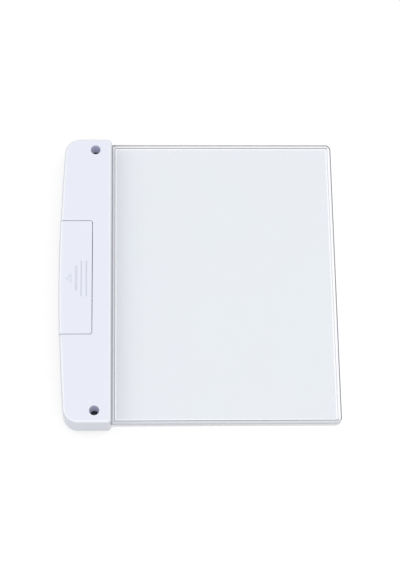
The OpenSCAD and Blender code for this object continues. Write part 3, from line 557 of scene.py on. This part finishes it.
# light panel: a rim with a rounded inner side around the etched field
panelSpec = {
    "corner": 3.6,  # mm, radius of the two free corners, a little rounder than in the CAD
    "touch": 0.01,  # mm, within which a point lies on the outline
    "shoulder": 0.5,  # mm, within which the shoulders stand off the casing
    "slim": (0.15, 0.3),  # mm, by which the rim is slimmer on the right and near sides
    "slimFrom": 1,  # mm inside the outline, from where points belong to the rim's inner side
    "slimTo": 4,  # mm inside it, up to where they do
    "outer": 0.75,  # mm, rounding of the upper outside edges
    "outerBand": 0.9,  # mm inside the outline, up to where that rounding counts
    "under": 0.25,  # mm, rounding of the other outside edges
    "rim": 0.45,  # mm, rounding of the rim's inner side
    "segments": 4,
    "near": 2.3,  # mm, width of the strip of painted shade on top of the rim's near side
    "beside": 1.7,  # mm, width of the greyer strip, painted shade of the casing, on top of the rim beside the casing
    "topDeep": 0.1,  # mm, down to where a level face is the rim's top
    "lean": 0.1,  # part of a normal along an axis, from which a rounded face leans that way
    "gentle": 0.9,  # part of a normal along Z, from which it leans only a little
    "sideways": 2,  # how many times more to the right than to the near side the right edge faces
    "margin": 0.7,  # mm of clear acrylic between the rim and the etching
}
roundedMark = 1  # material number that marks rounded faces until each has its own acrylic


# how far inside the panel's outline a point lies, up to the corner radius
def insetOf(at, high, corner):
    arm = Vector((max(at.x - high.x + corner, 0), max(abs(at.y) - high.y + corner, 0)))
    return corner - arm.length


def reshapePanel(bm, low, high, shellSide, spec):
    corner, touch = spec["corner"] * mm, spec["touch"] * mm
    middle = (low.z + high.z) / 2
    cadCorner = high.x - max(v.co.x for v in bm.verts if abs(v.co.y) > high.y - touch)
    for vert in bm.verts:
        arm = Vector((vert.co.x - high.x + cadCorner, abs(vert.co.y) - high.y + cadCorner))
        if min(arm) > -touch and abs(arm.length - cadCorner) < touch:
            arm = arm * (corner / cadCorner)
            vert.co.x = high.x - corner + arm.x
            vert.co.y = math.copysign(high.y - corner + arm.y, vert.co.y)
    for vert in bm.verts:  # the shoulders follow the side of the casing
        if abs(vert.co.x - shellSide) < spec["shoulder"] * mm:
            vert.co.x -= shellSpec["drawnIn"] * mm
    for vert in bm.verts:  # the rim is a little narrower along the near and right sides
        inside = insetOf(vert.co, high, corner) >= spec["slimFrom"] * mm
        if vert.co.z < middle or not inside or vert.co.x < shellSide:
            continue
        if vert.co.y < low.y + spec["slimTo"] * mm:
            vert.co.y -= spec["slim"][1] * mm
        if vert.co.x > high.x - spec["slimTo"] * mm:
            vert.co.x += spec["slim"][0] * mm


# rounded faces go by where they face, the others by where they lie; all but the clear and sanded kinds
# carry painted shade
def acrylicKind(face, low, high, shellSide, spec):
    at, facing, lean = face.calc_center_median(), face.normal, spec["lean"]
    rounded = face.material_index == roundedMark
    outside = insetOf(at, high, spec["corner"] * mm) < spec["outerBand"] * mm
    rimTop = isLevel(face) and at.z > high.z - spec["topDeep"] * mm
    if rounded and not outside and facing.y > lean:
        return "castAcrylicDeep"
    if rounded and outside and facing.y < -lean and facing.z > spec["gentle"]:
        return "castAcrylicHaze"
    if rounded and outside and facing.x > max(lean, -spec["sideways"] * facing.y):
        return "castAcrylicEdge"
    if rounded and max(abs(facing.y), facing.x) > lean:
        return "castAcrylicSlope"
    if rounded and facing.x < -lean:
        return "castAcrylicBead"
    if outside and isUpright(face) and at.x > shellSide:
        return "castAcrylicSanded"
    if rimTop and at.y < low.y + spec["near"] * mm:
        return "castAcrylicHaze"
    if rimTop and at.x < shellSide + spec["beside"] * mm:
        return "castAcrylicBead"
    return "castAcrylicClear"


# cuts the etched field out of the largest level face, a margin inside its edges
def cutField(bm, margin):
    field = max(filter(isLevel, bm.faces), key=lambda f: f.calc_area())
    pieces = [field]
    for axis in (0, 1):
        ends = [v.co[axis] for v in field.verts]
        direction = Vector([float(i == axis) for i in range(3)])
        for at in (min(ends) + margin, max(ends) - margin):
            pieces = cutFaces(bm, pieces, direction * at, direction)
    return max(pieces, key=lambda f: f.calc_area())


def makePanel(spec):
    bm = weldedCopy("light_panel")
    low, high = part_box("light_panel")
    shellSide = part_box("back_shell")[1].x
    middle = (low.z + high.z) / 2

    def upper(edge):
        return min(v.co.z for v in edge.verts) > middle

    reshapePanel(bm, low, high, shellSide, spec)
    breakEdges(bm, spec["under"], spec["segments"], lambda e, sides: all(sides) and not upper(e))
    breakEdges(bm, spec["outer"], spec["segments"], lambda e, sides: all(sides) and upper(e), roundedMark)
    breakEdges(bm, spec["rim"], spec["segments"],
               lambda e, sides: any(sides) and not all(sides) and upper(e), roundedMark)
    # strips of painted shade on the rim's top: at the near side and beside the casing
    rimTop = [f for f in bm.faces if isLevel(f) and f.material_index != roundedMark
              and f.calc_center_median().z > high.z - spec["topDeep"] * mm]
    rimTop = cutFaces(bm, rimTop, (0, low.y + spec["near"] * mm, 0), (0, 1, 0))
    cutFaces(bm, rimTop, (shellSide + spec["beside"] * mm, 0, 0), (1, 0, 0))
    kinds = list(acrylicSpec)
    for face in bm.faces:
        face.material_index = kinds.index(acrylicKind(face, low, high, shellSide, spec))
    cutField(bm, spec["margin"] * mm).material_index = len(kinds)
    panel = addPiece(bm, "lightPanel", "light_panel", [acrylic[kind] for kind in kinds] + [etchedAcrylic])
    evenNormals(panel)
    panel.visible_shadow = False  # light passes through the clear panel to the table
    panel.visible_diffuse = False


makeShells(shellSpec)
makePanel(panelSpec)
print("casing and panel made")

# small rigid pieces: node, rounding in mm, finish
smallSpec = {
    "casingScrews": ("casing_screws", 0.08, "zincPassivatedDark"),
    "boardScrews": ("board_screws", 0.08, "zincPassivatedDark"),
    "powerButton": ("power_button", 0.2, "mouldedAbsGrey"),
    "reflectorStrip": ("reflector_strip", 0.05, "reflectorFilm"),
    "positiveContact": ("positive_contact", 0.1, "nickelPlatedStrip"),
    "negativeContact": ("negative_contact", 0.1, "nickelPlatedStrip"),
    "bridgeContact": ("bridge_contact", 0.1, "nickelPlatedStrip"),
    "choke": ("choke", 0.2, "ferriteSintered"),
    "switchBody": ("switch_body", 0.12, "nylonMoulded"),
    "switchPlunger": ("switch_plunger", 0.15, "nylonMoulded"),
    "switchLegs": ("switch_legs", 0.05, "tinnedSolder"),
}


def makeSmallPieces(spec):
    for pieceName, (node, width, finishName) in spec.items():
        bm = weldedCopy(node)
        breakEdges(bm, width)
        evenNormals(addPiece(bm, pieceName, node, [finish[finishName]]))


# foam strips: squeezed between shell and panel, so they bulge out of the slot as a thin grey line
sealSpec = {
    "mouth": 1,  # mm inside the slot's mouth, up to where a face is a strip's outer end
    "bulge": 0.3,  # mm
    "pinch": 0.7,  # share of the thickness that the bulge keeps
    "round": 0.12,  # mm
}


def makeSeals(spec):
    bm = weldedCopy("light_seals")
    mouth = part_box("light_seals")[1].x - spec["mouth"] * mm
    for face in [f for f in bm.faces if f.normal.x > meshSpec["square"] and f.verts[0].co.x > mouth]:
        middle = face.calc_center_median().z
        pushed = bmesh.ops.extrude_discrete_faces(bm, faces=[face])["faces"][0]
        for vert in pushed.verts:
            vert.co.x += spec["bulge"] * mm
            vert.co.z += (middle - vert.co.z) * (1 - spec["pinch"])
    breakEdges(bm, spec["round"])
    evenNormals(addPiece(bm, "lightSeals", "light_seals", [finish["foamClosedCell"]]))


# boards and lamps keep the CAD's square edges, a little broken
boardSpec = {
    "pieces": {
        "ledBoard": ("led_board", boardResist),
        "driverBoard": ("driver_board", boardResist),
        "leds": ("leds", lampCup),
    },
    "round": 0.05,  # mm
}


def makeBoards(spec):
    for pieceName, (node, material) in spec["pieces"].items():
        bm = weldedCopy(node)
        breakEdges(bm, spec["round"], segments=1)
        evenNormals(addPiece(bm, pieceName, node, [material]))


# chips: dark or tan bodies with tinned ends or legs; node, body and length of the tinned ends in mm
chipSpec = {
    "capped": {
        "chipCapacitors": ("chip_capacitors", "ceramicFired", 0.4),
        "chipResistors": ("chip_resistors", "epoxyMoulded", 0.3),
    },
    "legHigh": 0.25,  # mm, below which a solid of the driver chip is a leg
    "round": 0.06,  # mm
}


# the separate solids of a mesh, each as a set of its points
def islands(bm):
    left = set(bm.verts)
    while left:
        found, queue = set(), [left.pop()]
        while queue:
            vert = queue.pop()
            found.add(vert)
            near = {e.other_vert(vert) for e in vert.link_edges} & left
            left -= near
            queue += near
        yield found


def makeCappedChips(spec):
    along = Vector((0, 1, 0))
    for pieceName, (node, body, cap) in spec["capped"].items():
        bm = weldedCopy(node)
        breakEdges(bm, spec["round"], segments=1)
        for verts in list(islands(bm)):
            places = [v.co.y for v in verts]
            ends = (min(places) + cap * mm, max(places) - cap * mm)
            faces = {f for v in verts for f in v.link_faces}
            for at in ends:
                faces = cutFaces(bm, faces, along * at, along)
            for face in faces:
                at = face.calc_center_median().y
                face.material_index = int(at < ends[0] or at > ends[1])
        evenNormals(addPiece(bm, pieceName, node, [finish[body], finish["tinnedSolder"]]))


def makeDriverChip(spec):
    bm = weldedCopy("driver_chip")
    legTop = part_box("driver_chip")[0].z + spec["legHigh"] * mm
    for verts in list(islands(bm)):
        isLeg = max(v.co.z for v in verts) < legTop
        for face in {f for v in verts for f in v.link_faces}:
            face.material_index = int(isLeg)
    breakEdges(bm, spec["round"], segments=1)
    chipFinish = [finish["epoxyMoulded"], finish["tinnedSolder"]]
    evenNormals(addPiece(bm, "driverChip", "driver_chip", chipFinish))


# cells: jacket on the can, bare metal at both ends
def makeCells(spec):
    for pieceName, (node, towards) in spec["pieces"].items():
        bm = weldedCopy(node)
        breakEdges(bm, spec["rim"], spec["segments"])
        low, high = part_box(node)
        radius = (high.x - low.x) / 2
        axis = Vector(((low.x + high.x) / 2, 0, (low.z + high.z) / 2))
        for face in bm.faces:
            middle = face.calc_center_median()
            middle.y = 0
            face.material_index = int((middle - axis).length < radius - spec["bare"] * mm)
        jacket = makeCellJacket(pieceName + "Jacket", node, towards, spec)
        evenNormals(addPiece(bm, pieceName, node, [jacket, finish["nickelPlatedStrip"]]))


# springs and leads: the CAD's six- and eight-sided tubes, drawn out round
tubeSpec = {
    "pieces": {
        "springNegative": ("spring_negative", "nickelPlatedWire"),
        "springBridge": ("spring_bridge", "nickelPlatedWire"),
        "batteryLeadRed": ("battery_lead_red", "pvcRed"),
        "batteryLeadBlack": ("battery_lead_black", "pvcBlack"),
        "ledLeadRed": ("led_lead_red", "pvcRed"),
        "ledLeadBlack": ("led_lead_black", "pvcBlack"),
    },
    "crease": 180,  # degrees, so that no edge is shaded as sharp
    "levels": 2,
}


def makeTubes(spec):
    for pieceName, (node, finishName) in spec["pieces"].items():
        bm = weldedCopy(node, flatten=False)
        piece = addPiece(bm, pieceName, node, [finish[finishName]], spec["crease"])
        smooth = piece.modifiers.new("round", "SUBSURF")
        smooth.levels = smooth.render_levels = spec["levels"]


makeSmallPieces(smallSpec)
makeSeals(sealSpec)
makeBoards(boardSpec)
makeCappedChips(chipSpec)
makeDriverChip(chipSpec)
makeCells(cellSpec)
makeTubes(tubeSpec)
print("inside pieces made")


# floor under the casing's front edge and the panel's free edge, on which the light really rests
floorSpec = {
    "size": 6.0,  # m
    "colour": "#B4B4B4",
    "lift": 0.6,  # white added where the floor is seen, so that it looks pale and keeps the shadow
    "heel": 2,  # mm from the casing's side along the panel to the edge that it rests on
    "sink": 0.2,  # mm below the light
}


def makeFloor(spec):
    panelLow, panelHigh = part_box("light_panel")
    heel = Vector((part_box("front_shell")[1].x - spec["heel"] * mm, 0, 0))
    toe = Vector((panelHigh.x, 0, panelLow.z))
    along = (toe - heel).normalized()
    across = Vector((0, 1, 0))
    middle = heel - along.cross(across) * spec["sink"] * mm
    half = spec["size"] / 2
    corners = [middle + (along * x + across * y) * half for x, y in ((-1, -1), (1, -1), (1, 1), (-1, 1))]
    mesh = bpy.data.meshes.new("studioFloor")
    mesh.from_pydata(corners, [], [(0, 1, 2, 3)])
    floor = bpy.data.objects.new("studioFloor", mesh)
    scene.collection.objects.link(floor)
    made = bpy.data.materials.new("paperWhite")
    made.use_nodes = True
    tree = made.node_tree
    tree.nodes.clear()
    path = addNode(tree, "ShaderNodeLightPath")
    seen = addNode(tree, "ShaderNodeMath", {"operation": "MAXIMUM"}, {
        0: path.outputs["Is Camera Ray"], 1: path.outputs["Is Glossy Ray"]})
    seenAll = addNode(tree, "ShaderNodeMath", {"operation": "MAXIMUM"}, {
        0: seen.outputs[0], 1: path.outputs["Is Transmission Ray"]})
    lift = addNode(tree, "ShaderNodeMath", {"operation": "MULTIPLY", 1: spec["lift"]}, {
        0: seenAll.outputs[0]})
    glow = addNode(tree, "ShaderNodeEmission", links={"Strength": lift.outputs[0]})
    paper = addNode(tree, "ShaderNodeBsdfDiffuse", {"Color": linear(spec["colour"])})
    both = addNode(tree, "ShaderNodeAddShader", links={0: paper.outputs[0], 1: glow.outputs[0]})
    addNode(tree, "ShaderNodeOutputMaterial", links={"Surface": both.outputs[0]})
    mesh.materials.append(made)


makeFloor(floorSpec)


# soft studio light: a pale dome that darkens to the horizon, and three long boxes round the table
lightSpec = {
    "zenith": 1.1,
    "horizon": 0.15,
    "boxes": {  # places and sizes in m, power in W
        "leftBox": {"place": (-1.5, 0.6, 0.95), "size": (0.8, 2.6), "power": 5.7},
        "rightBox": {"place": (1.5, 0.6, 0.95), "size": (0.8, 2.6), "power": 5.0},
        "nearBox": {"place": (0.2, -3.0, 1.6), "size": (5.2, 1.6), "power": 31},
    },
}


def makeLights(spec):
    world = bpy.data.worlds.new("studio")
    scene.world = world
    world.use_nodes = True
    tree = world.node_tree
    tree.nodes.clear()
    toSky = addNode(tree, "ShaderNodeTexCoord").outputs["Generated"]
    up = addNode(tree, "ShaderNodeSeparateXYZ", links={0: toSky})
    shade = addNode(tree, "ShaderNodeMapRange", {
        "To Min": spec["horizon"], "To Max": spec["zenith"]}, {"Value": up.outputs["Z"]})
    sky = addNode(tree, "ShaderNodeBackground", {"Color": (1, 1, 1, 1)}, {"Strength": shade.outputs[0]})
    addNode(tree, "ShaderNodeOutputWorld", links={"Surface": sky.outputs[0]})
    for name, lamp in spec["boxes"].items():
        data = bpy.data.lights.new(name, "AREA")
        data.shape = "RECTANGLE"
        data.size, data.size_y = lamp["size"]
        data.energy = lamp["power"]
        box = bpy.data.objects.new(name, data)
        scene.collection.objects.link(box)
        box.location = lamp["place"]
        box.rotation_mode = "QUATERNION"
        box.rotation_quaternion = Vector(lamp["place"]).to_track_quat("Z", "Y")
        box.visible_camera = False


makeLights(lightSpec)
print("stage set")
